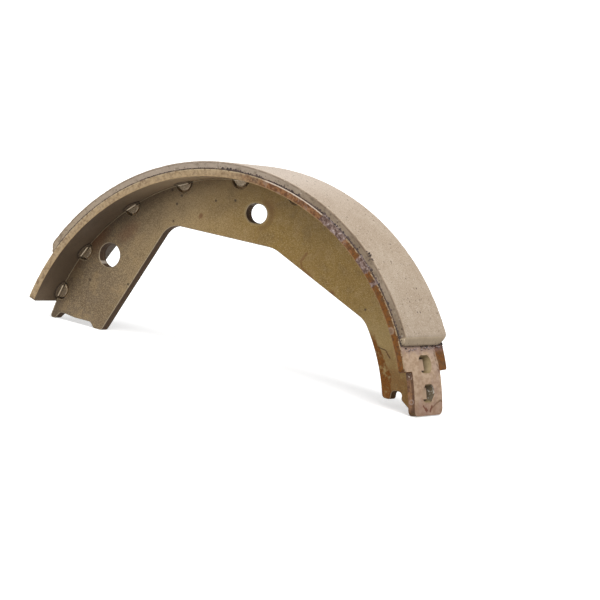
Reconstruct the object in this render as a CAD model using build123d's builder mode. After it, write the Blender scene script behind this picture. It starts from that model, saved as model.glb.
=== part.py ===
"""Drum brake shoe: a flat steel web, a curved steel table and a bonded friction lining.

The shoe stands as an arch on its own ends, as it does on a bench. +X runs along its length, +Y along
the axis of the drum that it works in, and +Z up. The origin is the middle of its length and width,
at the level that its feet stand on. Angles are counted about the drum's axis, in degrees from +X
towards +Z.
"""

import os
from math import asin, cos, degrees, hypot, radians, sin, sqrt, tan

from build123d import *

os.makedirs("parts", exist_ok=True)

# Layers, from the drum inwards
drum_radius = 114.3
lining_thickness = 3.6
bond_thickness = 0.2
table_thickness = 3.4

lining_inner_radius = drum_radius - lining_thickness
table_outer_radius = lining_inner_radius - bond_thickness
table_inner_radius = table_outer_radius - table_thickness

# Width of the table, which the lining nearly covers
table_width = 42.0
lining_side_step = 0.4

# Lining
lining_right_angle = 26.9
lining_left_angle = 151.3
lining_bevel_run = 3.3
lining_land = 0.9
lining_edge_round = 0.5
bond_inset = 0.3

# Table
table_left_angle = 165.0
tab_end_angle = 10.4
shoulder_angle = 20.9
tab_width = 27.6
tab_corner_radius = 3.0
shoulder_corner_radius = 1.6
end_corner_radius = 1.5

# Flared slots of the table. Each takes a tooth of the web, which stands on a half-round nub
lined_slot_pitch = 17.1
lined_slot_count = 6
first_lined_slot_angle = 129.7
end_slot_angles = (161.6, 148.7, 22.5, 15.6)
tooth_length = 5.2
tooth_recess = 2.4
tooth_end_gap = 0.5
tooth_side_gap = 0.55
flare_length = 12.5
flare_width = 8.4
flare_corner_radius = 1.5
pad_rim = 0.35
pad_height = 0.5
lip_width = 1.1
lip_height = 0.6
lip_edge_break = 0.25

# Half-round nubs in scallops of the web
nub_side_inset = 0.2
nub_shoulder_gap = 0.15
nub_radius = 3.7
nub_groove = 1.05
nub_neck_inset = 1.5
nub_edge_break = 0.35

# Web
web_thickness = 5.5
web_edge_break = 0.35

slot_angles = [first_lined_slot_angle - lined_slot_pitch * step for step in range(lined_slot_count)]
slot_angles.extend(end_slot_angles)
nub_thickness = web_thickness - 2 * nub_side_inset
neck_thickness = web_thickness - 2 * nub_neck_inset
scallop_radius = nub_radius + nub_groove
slot_length = nub_thickness + 2 * tooth_side_gap
slot_width = tooth_length + 2 * tooth_end_gap
lip_centre = (slot_length + lip_width) / 2
lining_width = table_width - 2 * lining_side_step

# Outline of the web
crown_depth = 29.1
limb_depth = 19.1
bridge_left = -45.5
bridge_right = 14.5
bridge_left_round = 10.0
bridge_right_round = 14.0
limb_round = 12.0
slope_angle = 22.8
leg_lean = 25.7

# Left foot: a hook at the end of the table and a tip at the foot of the leaning edge
hook_width = 3.0
hook_flank = 2.8
hook_round = 1.3
hook_notch_height = 3.4
hook_notch_width = 2.0
sole_height = 2.6
sole_step = 7.0
tip_width = 4.9
tip_flank = 2.4
foot_round = 2.0
notch_round = 1.2

# Right foot: an inner toe, a notch and a slanting outer toe beside the tab
toe_height = 3.5
inner_toe_width = 4.3
toe_notch_width = 5.4
toe_notch_depth = 4.5
toe_notch_round = 1.9
outer_toe_height = 0.5
outer_toe_drop = 4.2
outer_toe_run = 6.2
toe_round = 1.5

# Holes of the web
round_hole_radius = 6.0
round_hole_depth = 12.1
round_hole_angle = 143.6
oval_hole_length = 11.5
oval_hole_width = 9.2
oval_hole_depth = 14.9
oval_hole_angle = 88.9

# Where the drum's axis lies: the inner end of the tab is the lowest edge of the table
feet_level = table_inner_radius * sin(radians(tab_end_angle))
left_reach = table_outer_radius * cos(radians(table_left_angle))
right_reach = table_outer_radius * cos(radians(tab_end_angle))
axis_x = -(left_reach + right_reach) / 2
axis_z = -feet_level
flat_tolerance = 0.01
shoe_plane = Plane(origin=(axis_x, 0, axis_z), x_dir=(1, 0, 0), z_dir=(0, -1, 0))


def polar(radius, angle):
    """Return a point of the web's plane from its radius and angle about the drum's axis."""
    return (radius * cos(radians(angle)), radius * sin(radians(angle)))


def slot_plane(radius, angle):
    """Return the plane square to a radius, with its x along the drum's axis and its z outwards."""
    along, up = polar(radius, angle)
    outward = (cos(radians(angle)), 0, sin(radians(angle)))
    return Plane(origin=(axis_x + along, 0, axis_z + up), x_dir=(0, 1, 0), z_dir=outward)


def faces_at(part, radius):
    """Return the flat faces whose middle lies at a radius from the drum's axis."""
    return part.faces().filter_by(
        lambda face: face.geom_type == GeomType.PLANE
        and abs(hypot(face.center().X - axis_x, face.center().Z - axis_z) - radius) < flat_tolerance
        and abs(face.normal_at().Y) < flat_tolerance
    )


def ring_sector(inner_radius, outer_radius, right_angle, left_angle):
    """Return a sector of a flat ring about the drum's axis."""
    with BuildSketch(mode=Mode.PRIVATE) as sector:
        with BuildLine():
            inner = CenterArc((0, 0), inner_radius, right_angle, left_angle - right_angle)
            outer = CenterArc((0, 0), outer_radius, right_angle, left_angle - right_angle)
            Line(inner @ 0, outer @ 0)
            Line(inner @ 1, outer @ 1)
        make_face()
    return sector.sketch


# Lining, with bevelled ends
bevel_angle = degrees(lining_bevel_run / drum_radius)
with BuildPart() as lining:
    with BuildSketch(shoe_plane):
        with BuildLine():
            bonded = CenterArc(
                (0, 0), lining_inner_radius, lining_right_angle, lining_left_angle - lining_right_angle
            )
            rubbing = CenterArc(
                (0, 0),
                drum_radius,
                lining_right_angle + bevel_angle,
                lining_left_angle - lining_right_angle - 2 * bevel_angle,
            )
            knee_radius = lining_inner_radius + lining_land
            Polyline(bonded @ 0, polar(knee_radius, lining_right_angle), rubbing @ 0)
            Polyline(bonded @ 1, polar(knee_radius, lining_left_angle), rubbing @ 1)
        make_face()
    extrude(amount=lining_width / 2, both=True)
    rubbing_face = lining.faces().sort_by(lambda face: face.area)[-1]
    chamfer(rubbing_face.edges(), lining_edge_round)
lining.part.label = "lining"

# Film of adhesive under the lining
with BuildPart() as adhesive_film:
    with BuildSketch(shoe_plane):
        add(ring_sector(table_outer_radius, lining_inner_radius, lining_right_angle, lining_left_angle))
    extrude(amount=lining_width / 2 - bond_inset, both=True)
adhesive_film.part.label = "adhesive_film"

# The space of one flare, which narrows downwards from a mouth on the plane of X and Y
with BuildPart() as flare:
    Wedge(
        flare_length,
        table_thickness,
        flare_width,
        (flare_length - slot_length) / 2,
        (flare_width - slot_width) / 2,
        (flare_length + slot_length) / 2,
        (flare_width + slot_width) / 2,
        rotation=(-90, 0, 0),
        align=(Align.CENTER, Align.MIN, Align.CENTER),
    )
    sloping = flare.edges().filter_by(Axis.X, reverse=True).filter_by(Axis.Y, reverse=True)
    fillet(sloping, flare_corner_radius)

# Table: a rolled strip that narrows to a tab, with flared slots through low pads
with BuildPart() as table:
    with BuildSketch(shoe_plane):
        add(ring_sector(table_inner_radius, table_outer_radius, tab_end_angle, table_left_angle))
    extrude(amount=table_width / 2, both=True)

    with BuildSketch(shoe_plane.offset(tab_width / 2), shoe_plane.offset(-table_width / 2)):
        add(
            ring_sector(
                table_inner_radius - table_thickness,
                table_outer_radius + table_thickness,
                tab_end_angle / 2,
                shoulder_angle,
            )
        )
    extrude(amount=(table_width - tab_width) / 2, mode=Mode.SUBTRACT)

    corners = table.edges().filter_by(GeomType.LINE)
    corners = corners.filter_by(lambda edge: abs(edge.length - table_thickness) < table_thickness / 100)
    left_end, shoulders, tab_end = corners.group_by(Axis.X)
    outer_shoulders = shoulders.filter_by(lambda edge: abs(edge.center().Y) > (tab_width + table_width) / 4)
    fillet(tab_end, tab_corner_radius)
    fillet(left_end, end_corner_radius)
    fillet(outer_shoulders, shoulder_corner_radius)

    # Low pads with two lips each on the inner face, then the flared slots through them
    with BuildSketch(*[slot_plane(table_inner_radius - pad_height, angle) for angle in slot_angles]):
        SlotOverall(flare_length + 2 * pad_rim, flare_width + 2 * pad_rim)
    extrude(amount=pad_height + table_thickness / 2)
    lip_radius = table_inner_radius - pad_height - lip_height
    with BuildSketch(*[slot_plane(lip_radius, angle) for angle in slot_angles]):
        with Locations((lip_centre, 0), (-lip_centre, 0)):
            Rectangle(lip_width, slot_width)
    extrude(amount=lip_height + table_thickness / 2)
    chamfer(faces_at(table, lip_radius).edges(), lip_edge_break)
    with BuildSketch(*[slot_plane(lip_radius, angle) for angle in slot_angles]):
        Rectangle(slot_length, slot_width)
    extrude(amount=table_outer_radius - lip_radius, mode=Mode.SUBTRACT)
    with Locations(*[slot_plane(table_outer_radius, angle) for angle in slot_angles]):
        add(flare.part, mode=Mode.SUBTRACT)
table.part.label = "table"

# Web: outline, then scallops round the collars, teeth and holes
limb_inner_radius = table_inner_radius - limb_depth
bridge_level = table_inner_radius - crown_depth
toe_level = feet_level + toe_height
sole_level = feet_level + sole_height
hook_notch_level = feet_level + hook_notch_height
outer_toe_level = feet_level + outer_toe_height
hook_end_angle = 180 - tab_end_angle
hook_inner = table_inner_radius * cos(radians(hook_end_angle)) + hook_width
notch_inner = hook_inner + hook_flank
tip_right = bridge_left - (bridge_level - feet_level) * tan(radians(leg_lean))
tip_left = tip_right - tip_width

# The sloping edge meets the inner arc of the limb where their radii agree
slope_dir = (cos(radians(slope_angle)), -sin(radians(slope_angle)))
half_b = bridge_right * slope_dir[0] + bridge_level * slope_dir[1]
slope_length = -half_b + sqrt(half_b**2 - bridge_right**2 - bridge_level**2 + limb_inner_radius**2)
slope_end = (bridge_right + slope_length * slope_dir[0], bridge_level + slope_length * slope_dir[1])
limb_top_angle = degrees(asin(slope_end[1] / limb_inner_radius))
limb_toe_angle = degrees(asin(toe_level / limb_inner_radius))
outer_toe_angle = degrees(asin(outer_toe_level / table_inner_radius))

inner_toe_left = limb_inner_radius * cos(radians(limb_toe_angle))
notch_left = inner_toe_left + inner_toe_width
notch_right = notch_left + toe_notch_width
notch_top = toe_level + toe_notch_depth

with BuildPart() as web:
    with BuildSketch(shoe_plane) as web_face:
        with BuildLine():
            back = CenterArc((0, 0), table_inner_radius, outer_toe_angle, hook_end_angle - outer_toe_angle)
            limb = CenterArc((0, 0), limb_inner_radius, limb_toe_angle, limb_top_angle - limb_toe_angle)
            left_foot = Polyline(
                back @ 1,
                (hook_inner, feet_level),
                (notch_inner, hook_notch_level),
                (notch_inner + hook_notch_width, hook_notch_level),
                (notch_inner + hook_notch_width + sole_step, sole_level),
                (tip_left - tip_flank, sole_level),
                (tip_left, feet_level),
                (tip_right, feet_level),
                (bridge_left, bridge_level),
                (bridge_right, bridge_level),
                limb @ 1,
            )
            right_foot = Polyline(
                limb @ 0,
                (notch_left, toe_level),
                (notch_left, notch_top),
                (notch_right, notch_top),
                (notch_right, outer_toe_level + outer_toe_drop),
                (notch_right + outer_toe_run, outer_toe_level),
                back @ 0,
            )
        make_face()
        left_rounds = (
            hook_round,
            hook_round,
            notch_round,
            notch_round,
            foot_round,
            foot_round,
            foot_round,
            foot_round,
            bridge_left_round,
            bridge_right_round,
            limb_round,
        )
        right_rounds = (foot_round, notch_round, toe_notch_round, toe_notch_round, toe_round, foot_round)
        for corner, radius in zip(left_foot.vertices(), left_rounds):
            fillet(web_face.vertices().sort_by_distance(corner)[0], radius)
        for corner, radius in zip(right_foot.vertices(), right_rounds):
            fillet(web_face.vertices().sort_by_distance(corner)[0], radius)
        with Locations(*[polar(table_inner_radius, angle) for angle in slot_angles]):
            Circle(scallop_radius, mode=Mode.SUBTRACT)
        with Locations(polar(table_inner_radius - round_hole_depth, round_hole_angle)):
            Circle(round_hole_radius, mode=Mode.SUBTRACT)
        with Locations(polar(table_inner_radius - oval_hole_depth, oval_hole_angle)):
            SlotOverall(oval_hole_length, oval_hole_width, mode=Mode.SUBTRACT)
    extrude(amount=web_thickness / 2, both=True)
    chamfer(web.faces().filter_by(Axis.Y).edges(), web_edge_break)

    # Half-round nubs, with shoulders just short of the table's pads
    shoulder_radius = table_inner_radius - pad_height - nub_shoulder_gap
    with BuildSketch(shoe_plane):
        with Locations(*[polar(table_inner_radius, angle) for angle in slot_angles]):
            Circle(nub_radius)
        add(ring_sector(shoulder_radius, drum_radius, 0, 180), mode=Mode.SUBTRACT)
    extrude(amount=nub_thickness / 2, both=True)
    nub_faces = web.faces().filter_by(Axis.Y).filter_by(
        lambda face: abs(abs(face.center().Y) - nub_thickness / 2) < flat_tolerance
    )
    chamfer(nub_faces.edges(), nub_edge_break)

    # A neck joins each nub to the floor of its scallop, and a tooth stands up into the slot
    tooth_radius = table_outer_radius - tooth_recess
    with BuildSketch(*[slot_plane(shoulder_radius - nub_groove, angle) for angle in slot_angles]):
        Rectangle(neck_thickness, tooth_length)
    extrude(amount=-scallop_radius)
    with BuildSketch(*[slot_plane(tooth_radius, angle) for angle in slot_angles]):
        Rectangle(nub_thickness, tooth_length)
    extrude(amount=shoulder_radius - nub_groove - tooth_radius)
web.part.label = "web"

for piece in (web, table, lining, adhesive_film):
    export_step(piece.part, f"parts/{piece.part.label}.step")
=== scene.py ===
"""Looks of a drum brake shoe: plated web, rusting table, ground lining and its dried adhesive."""

import math

import bmesh
import bpy
from mathutils import Matrix, Vector, noise


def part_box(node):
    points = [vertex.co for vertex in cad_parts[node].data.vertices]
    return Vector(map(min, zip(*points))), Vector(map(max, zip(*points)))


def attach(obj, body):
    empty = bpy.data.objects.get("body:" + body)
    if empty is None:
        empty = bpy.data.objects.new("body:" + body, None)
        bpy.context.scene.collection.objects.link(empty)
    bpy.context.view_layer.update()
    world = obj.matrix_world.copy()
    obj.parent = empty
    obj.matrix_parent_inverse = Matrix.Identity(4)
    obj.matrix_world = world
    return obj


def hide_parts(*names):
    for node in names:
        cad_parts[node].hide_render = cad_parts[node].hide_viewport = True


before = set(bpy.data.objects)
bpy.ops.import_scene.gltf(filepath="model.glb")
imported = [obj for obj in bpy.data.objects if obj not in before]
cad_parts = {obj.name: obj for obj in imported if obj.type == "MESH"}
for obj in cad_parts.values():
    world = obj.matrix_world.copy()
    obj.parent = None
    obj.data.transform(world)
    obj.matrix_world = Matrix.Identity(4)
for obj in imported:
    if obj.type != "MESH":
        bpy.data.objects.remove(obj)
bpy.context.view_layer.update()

bl_info = {
    "name": "Brake Shoe Looks",
    "version": (1, 0, 0),
    "blender": (4, 5, 0),
    "location": "View3D > Sidebar > Brake Shoe",
    "description": "Finishes the web, table, lining and adhesive of a drum brake shoe",
    "category": "Object",
}

MM = 0.001

# Layers of the shoe, and its ends in degrees about the drum's axis
DRUM_RADIUS = 114.3 * MM
BOND_RADIUS = 110.7 * MM
TABLE_OUTER = 110.5 * MM
TABLE_INNER = 107.1 * MM
TABLE_THICKNESS = TABLE_OUTER - TABLE_INNER
TABLE_LEFT_ANGLE = 165.0
LINING_RIGHT_ANGLE = 26.9
LINING_LEFT_ANGLE = 151.3

# Slots of the table, their pads, and the web's nubs in their scallops
SLOT_ANGLES = [129.7 - 17.1 * step for step in range(6)] + [161.6, 148.7, 22.5, 15.6]
OPEN_SLOT_ANGLES = (161.6, 22.5, 15.6)
MOUTH_HALF = (6.25 * MM, 4.2 * MM)
THROAT_HALF = (3.1 * MM, 3.1 * MM)
PAD_HALF_LENGTH = 6.6 * MM
PAD_HALF_WIDTH = 4.55 * MM
PAD_HEIGHT = 0.5 * MM
NUB_RADIUS = 3.7 * MM
SCALLOP_RADIUS = 4.75 * MM

EDGE_BREAK = 0.35 * MM
ROUND_HOLE = (-77.4 * MM, 37.0 * MM)
OVAL_HOLE = (0.8 * MM, 72.8 * MM)
OVAL_RATIO = 0.81

# Wear of the lining: how far it reaches from the long edges and from the ends, how strong it is,
# and the noise that chips and pits it, as waves in a metre and their weight
WORN_EDGE = 1.6 * MM
WORN_END = 2.5 * MM
EVEN_WEAR = 0.25
CHIPPED_WEAR = 2.4
END_WEAR = 0.8
CHIP_WAVES = ((420.0, 0.5), (1300.0, 0.35))
PIT_WAVES = 900.0

# Arcs of the front seam, in degrees, where residue of adhesive was wiped over the table's side
RESIDUE_ARCS = ((56.4, 64.6), (46.4, 50.6), (42.6, 43.8))
RESIDUE_PER_DEGREE = 24

# The camera: turns in degrees, its place in metres from the drum's axis, lens and sensor in mm
CAMERA_AZIMUTH = 30.03
CAMERA_ELEVATION = -0.08
CAMERA_TILT = 12.08
CAMERA_PLACE = (0.56819, -0.90820, 0.04759)
CAMERA_LENS = 134.79
CAMERA_SENSOR = 36.0

SKY_BRIGHTEST = (0.0, -0.25, 0.97)
WHITE = (1.0, 1.0, 1.0, 1.0)

# The drum's axis and half the width of each piece, from the frame
table_low, table_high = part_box("table")
lining_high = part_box("lining")[1]
AXIS_X = table_low[0] - TABLE_OUTER * math.cos(math.radians(TABLE_LEFT_ANGLE))
AXIS_Z = lining_high[2] - DRUM_RADIUS
WEB_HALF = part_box("web")[1][1]
TABLE_HALF = table_high[1]
LINING_HALF = lining_high[1]


def polar_point(radius, degrees_up, y=0.0):
    """A point from its radius and angle about the drum's axis."""
    angle = math.radians(degrees_up)
    return Vector((AXIS_X + radius * math.cos(angle), y, AXIS_Z + radius * math.sin(angle)))


def srgb(red, green, blue):
    """Linear colour of a screen colour given from 0 to 255."""
    linear = []
    for level in (red, green, blue):
        share = level / 255
        linear.append(share / 12.92 if share <= 0.04045 else ((share + 0.055) / 1.055) ** 2.4)
    return tuple(linear)


def colour_property(name, description, default):
    """A colour that a user can change."""
    return bpy.props.FloatVectorProperty(
        name=name, description=description, subtype="COLOR", size=3, min=0, max=1, default=default
    )


def length_property(name, description, default):
    """A length that a user can change, in metres."""
    return bpy.props.FloatProperty(
        name=name, description=description, default=default, unit="LENGTH", precision=5
    )


def strength_property(name, description, default):
    """A strength of light that a user can change."""
    return bpy.props.FloatProperty(name=name, description=description, default=default, min=0.0)


# ---------------- node maths


class Wire:
    """One output socket of a tree. Python's operators on it add Math nodes."""

    def __init__(self, nodes, socket):
        self.nodes = nodes
        self.socket = socket

    def __add__(self, other):
        return self.nodes.math("ADD", self, other)

    def __sub__(self, other):
        return self.nodes.math("SUBTRACT", self, other)

    def __rsub__(self, other):
        return self.nodes.math("SUBTRACT", other, self)

    def __mul__(self, other):
        return self.nodes.math("MULTIPLY", self, other)

    def __truediv__(self, other):
        return self.nodes.math("DIVIDE", self, other)

    def __pow__(self, other):
        return self.nodes.math("POWER", self, other)

    def __abs__(self):
        return self.nodes.math("ABSOLUTE", self)

    __radd__ = __add__
    __rmul__ = __mul__

    def ease(self, low, high):
        """0 below low and 1 above high, with a smooth change between them."""
        sockets = {"Value": self, "From Min": low, "From Max": high}
        return self.nodes.add("ShaderNodeMapRange", {"interpolation_type": "SMOOTHSTEP"}, sockets)

    def fade(self, low, high):
        """1 below low and 0 above high, with a smooth change between them."""
        return 1 - self.ease(low, high)

    def sway(self, width):
        """This pattern about zero, times width."""
        return (self - 0.5) * width

    def between(self, low, high, soft):
        """1 from low to high and 0 outside, with a soft change at each end."""
        return self.ease(low - soft, low + soft) * self.fade(high - soft, high + soft)

    def tones(self, low, high, first, second):
        """One colour where this is below low and another where it is above high."""
        return self.nodes.mix(self.ease(low, high), first, second)

    def coat(self, factor, *tone):
        """This colour under a coat: one colour, or a screen colour's red, green and blue."""
        return self.nodes.mix(factor, self, srgb(*tone) if len(tone) == 3 else tone[0])


class Nodes:
    """The nodes of one tree."""

    def __init__(self, tree):
        self.tree = tree
        tree.nodes.clear()

    def add(self, kind, settings=None, sockets=None, output=0):
        """Add a node: its settings first, then the values or links of its sockets."""
        node = self.tree.nodes.new(kind)
        for key, value in (settings or {}).items():
            setattr(node, key, value)
        for key, value in (sockets or {}).items():
            if isinstance(value, Wire):
                self.tree.links.new(value.socket, node.inputs[key])
            else:
                node.inputs[key].default_value = value
        return Wire(self, node.outputs[output])

    def end(self, kind, socket, wire):
        """Link the last wire to the tree's own output."""
        self.tree.links.new(wire.socket, self.tree.nodes.new(kind).inputs[socket])

    def math(self, operation, *values):
        """Add a Math node."""
        return self.add("ShaderNodeMath", {"operation": operation}, dict(enumerate(values)))


class Paint(Nodes):
    """One material, and the nodes that make its finish."""

    def __init__(self, name):
        self.material = bpy.data.materials.new(name)
        self.material.use_nodes = True
        super().__init__(self.material.node_tree)
        self.place = self.add("ShaderNodeTexCoord", output="Object")
        parts = self.add("ShaderNodeSeparateXYZ", sockets={"Vector": self.place}).socket.node
        self.axes = [Wire(self, parts.outputs[axis]) for axis in "XYZ"]

    def smallest(self, first, second):
        return self.math("MINIMUM", first, second)

    def most(self, *values):
        """The largest of several values."""
        most = values[0]
        for value in values[1:]:
            most = self.math("MAXIMUM", most, value)
        return most

    def mix(self, factor, first, second):
        """Blend two colours."""
        tones = [tone if isinstance(tone, Wire) else (*tone, 1.0) for tone in (first, second)]
        sockets = {0: factor, 6: tones[0], 7: tones[1]}
        return self.add("ShaderNodeMix", {"data_type": "RGBA"}, sockets, output=2)

    def moved(self, stretch=None, shift=None):
        """Object coordinates, scaled by stretch and moved by shift."""
        if not stretch and not shift:
            return self.place
        change = {"Location": shift or (0, 0, 0), "Scale": stretch or (1, 1, 1)}
        return self.add("ShaderNodeMapping", sockets={"Vector": self.place, **change})

    def grain(self, scale, detail=3.0, roughness=0.6, **place):
        """A noise pattern in metres: scale is how many waves there are in one metre."""
        sockets = {"Scale": scale, "Detail": detail, "Roughness": roughness}
        return self.add("ShaderNodeTexNoise", sockets={"Vector": self.moved(**place), **sockets})

    def specks(self, scale, size, share, shift=None):
        """Separate spots: scale per metre, size in cells, and the share of cells with a spot."""
        sockets = {"Vector": self.moved(shift=shift), "Scale": scale, "Randomness": 1.0}
        spot = self.add("ShaderNodeTexVoronoi", {"feature": "F1"}, sockets, output="Distance")
        cell = Wire(self, spot.socket.node.outputs["Color"])
        chance = self.add("ShaderNodeSeparateColor", sockets={"Color": cell})
        ragged = self.grain(scale * 2.3, 2.0, 0.6, shift=shift) * (size * 0.9)
        return (spot + ragged).fade(size * 0.9, size * 1.3) * self.math("LESS_THAN", chance, share)

    @staticmethod
    def length(across, up):
        """Length of a flat vector."""
        return (across * across + up * up) ** 0.5

    def mark(self, x, z, radius, soft=0.5, stretch=1.0, turn=0.0, ragged=0.35, wave=900.0):
        """A soft ragged spot on a flat side at x and z, in metres, turned by degrees."""
        away_x = self.axes[0] - x
        away_z = self.axes[2] - z
        cosine = math.cos(math.radians(turn))
        sine = math.sin(math.radians(turn))
        along = (away_x * cosine + away_z * sine) / stretch
        across = away_z * cosine - away_x * sine
        ripple = self.grain(wave, 3.0, 0.65).sway(radius * ragged * 2)
        distance = self.length(along, across) + ripple
        return distance.fade(radius * (1 - soft), radius * (1 + soft * 0.4))

    def polar_mark(self, radius, degrees_up, size, **shape):
        """A mark at a radius and an angle about the drum's axis."""
        middle = polar_point(radius, degrees_up)
        return self.mark(middle.x, middle.z, size, **shape)

    def strokes(self, across, up, ends, half_width):
        """A thin line through several points, given in millimetres, in a pair of coordinates."""
        lines = []
        for start, end in zip(ends, ends[1:]):
            run_across = (end[0] - start[0]) * MM
            run_up = (end[1] - start[1]) * MM
            from_across = across - start[0] * MM
            from_up = up - start[1] * MM
            share = (from_across * run_across + from_up * run_up) / (run_across**2 + run_up**2)
            share = self.smallest(self.most(share, 0.0), 1.0)
            gap = self.length(from_across - share * run_across, from_up - share * run_up)
            lines.append(gap.fade(half_width * 0.6, half_width * 1.3))
        return self.most(*lines)

    def from_slot(self):
        """Distance from the middle of the nearest slot, at the table's inner face."""
        nearest = None
        for degrees_up in SLOT_ANGLES:
            middle = polar_point(TABLE_INNER, degrees_up)
            distance = self.length(self.axes[0] - middle.x, self.axes[2] - middle.z)
            nearest = self.smallest(nearest, distance) if nearest else distance
        return nearest

    def polar(self):
        """Radius in metres and angle in degrees about the drum's axis."""
        across = self.axes[0] - AXIS_X
        up = self.axes[2] - AXIS_Z
        return self.length(across, up), self.math("ARCTAN2", up, across) * (180 / math.pi)

    def bump(self, height, distance, strength):
        """Relief from a height between 0 and 1, as deep as distance in metres."""
        sockets = {"Height": height, "Distance": distance, "Strength": strength}
        return self.add("ShaderNodeBump", sockets=sockets)

    def finish(self, colour, roughness, normal, specular, **more):
        """End the material in one shader."""
        sockets = {
            "Base Color": colour,
            "Roughness": roughness,
            "Normal": normal,
            "Specular IOR Level": specular,
            **more,
        }
        shader = self.add("ShaderNodeBsdfPrincipled", sockets=sockets)
        self.end("ShaderNodeOutputMaterial", "Surface", shader)
        return self.material


# ---------------- finishes


def plated_web(look):
    """Dull yellow plating with a fine grain, dark specks, stains and rust at the right foot."""
    paint = Paint("plated_web")
    x, y, z = paint.axes
    radius, angle = paint.polar()
    fine = paint.grain(2700.0, 2.0, 0.7)
    cloud = paint.grain(28.0, 4.0, 0.6)
    blotch = paint.grain(130.0, 4.0, 0.6, shift=(0.3, 0.1, 0.2))
    depth = abs(y)
    front = y.fade(-1.0 * MM, 1.0 * MM)

    # Greyer at the left, palest over the middle, yellower towards the right foot
    wander = cloud.sway(50 * MM)
    along = x + wander
    base = along.tones(-85 * MM, -25 * MM, look.plate_left, look.plate_middle)
    base = base.coat(along.ease(-40 * MM, 15 * MM), look.plate_right)
    base = base.coat(blotch.ease(0.50, 0.66) * 0.30, 172, 144, 100)
    base = base.coat(blotch.fade(0.36, 0.50) * 0.30, 116, 94, 62)
    base = base.coat(fine.ease(0.50, 0.64) * 0.42, 206, 180, 134)
    base = base.coat(fine.fade(0.36, 0.50) * 0.42, 84, 64, 36)

    # Painted shade under the table and below the crown, golden patches and a paler right foot
    under = (radius + cloud.sway(6 * MM)).ease(97.5 * MM, 107.5 * MM)
    base = base.coat(under * angle.ease(70.0, 130.0) * 0.65, 70, 54, 38)
    golden = paint.grain(60.0, 3.0, 0.6, shift=(0.6, 0.2, 0.4)).ease(0.46, 0.62)
    base = base.coat(golden * x.ease(-60 * MM, 10 * MM) * 0.25, 140, 110, 60)
    crown_shade = (radius + wander * 0.1).ease(86 * MM, 99 * MM) * angle.between(62.0, 140.0, 8.0)
    base = base.coat(crown_shade * 0.24, 70, 58, 46)
    pale_foot = (z + wander).fade(30 * MM, 52 * MM) * x.ease(60 * MM, 75 * MM)
    base = base.coat(pale_foot * 0.5, 176, 152, 104)

    # Brown stains by the round hole, a halo by the oval hole and smaller marks,
    # as x, z and radius in millimetres, softness, stretch, turn in degrees, and strength
    stains = (
        (-86.0, 44.0, 6.0, 0.9, 1.6, 60.0, 0.45),
        (-69.0, 50.2, 4.5, 0.9, 2.0, 45.0, 0.4),
        (-76.3, 64.2, 4.0, 0.9, 1.8, 45.0, 0.4),
        (-97.2, 30.5, 4.0, 0.9, 1.6, 65.0, 0.4),
        (7.0, 76.8, 4.6, 0.9, 1.3, 60.0, 0.3),
        (-29.3, 65.8, 1.4, 0.7, 1.2, 90.0, 0.7),
        (48.6, 44.7, 1.3, 0.7, 1.6, -25.0, 0.7),
    )
    marks = [
        paint.mark(right * MM, up * MM, size * MM, soft, stretch, turn) * strength
        for right, up, size, soft, stretch, turn, strength in stains
    ]
    base = base.coat(paint.most(*marks) * front, 108, 64, 32)

    # A pale rim round the oval hole, and brown streaks beyond it at the right
    hole_x = (x - OVAL_HOLE[0]) * OVAL_RATIO
    hole_z = z - OVAL_HOLE[1]
    from_hole = paint.length(hole_x, hole_z) + blotch.sway(1.2 * MM)
    rim = from_hole.between(4.6 * MM, 5.7 * MM, 0.2 * MM) * front
    streaks = from_hole.between(6.1 * MM, 8.0 * MM, 0.6 * MM) * hole_x.ease(1.0 * MM, 3.5 * MM)
    base = base.coat(rim * 0.4, 176, 154, 112)
    base = base.coat(streaks * fine.ease(0.40, 0.55) * front * 0.5, 104, 66, 30)

    # A thin curved stain and a dark curved line
    curl_ends = ((31.6, 60.1), (29.4, 55.4), (30.5, 52.8), (36.6, 49.7))
    crack_ends = ((77.2, 25.6), (81.1, 25.0), (84.3, 22.0))
    ragged_x = x + paint.grain(300.0).sway(2 * MM)
    curl = paint.strokes(ragged_x, z, curl_ends, 0.55 * MM)
    crack = paint.strokes(ragged_x, z, crack_ends, 0.30 * MM)
    base = base.coat(curl * front * 0.6, 118, 76, 34)
    base = base.coat(crack * front * 0.8, 52, 34, 16)

    # Rust along the inner edge of the right limb and over the right foot
    reach = radius - angle.fade(21.0, 31.0) * (2.4 * MM) + blotch.sway(5 * MM)
    limb = reach.fade(90.2 * MM, 91.4 * MM)
    limb_rust = limb * angle.fade(31.0, 36.0) * x.ease(55 * MM, 65 * MM)
    foot = (z + blotch.sway(24 * MM)).fade(6 * MM, 30 * MM) * x.ease(70 * MM, 82 * MM)
    outer = (radius + blotch.sway(4 * MM)).ease(101.0 * MM, 106.2 * MM) * angle.fade(22.0, 34.0)
    patchy = paint.grain(320.0, 5.0, 0.7).ease(0.30, 0.50)
    rust = paint.most(limb_rust, foot * 0.58, outer * 0.9) * patchy
    rust_colour = fine.tones(0.3, 0.7, srgb(112, 60, 14), srgb(162, 98, 28))
    base = base.coat(rust * 0.9, rust_colour)

    # Dark specks: some at their own places, in millimetres, the rest scattered
    placed = ((-42.0, 73.4), (-43.9, 68.9), (-47.9, 75.0), (-63.7, 25.4), (-86.3, 22.9))
    placed += ((-22.5, 74.6), (-11.8, 76.7), (-44.2, 60.5), (67.3, 40.9), (-61.0, 27.5))
    spots = [paint.mark(right * MM, up * MM, 0.75 * MM, soft=0.6) for right, up in placed]
    own = paint.most(*spots) * front
    speck = paint.specks(150.0, 0.055, 0.28)
    dot = paint.specks(520.0, 0.10, 0.10, shift=(0.2, 0.4, 0.1))
    base = base.coat(paint.most(own * 0.8, speck * 0.85, dot * 0.5), 50, 36, 26)
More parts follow.
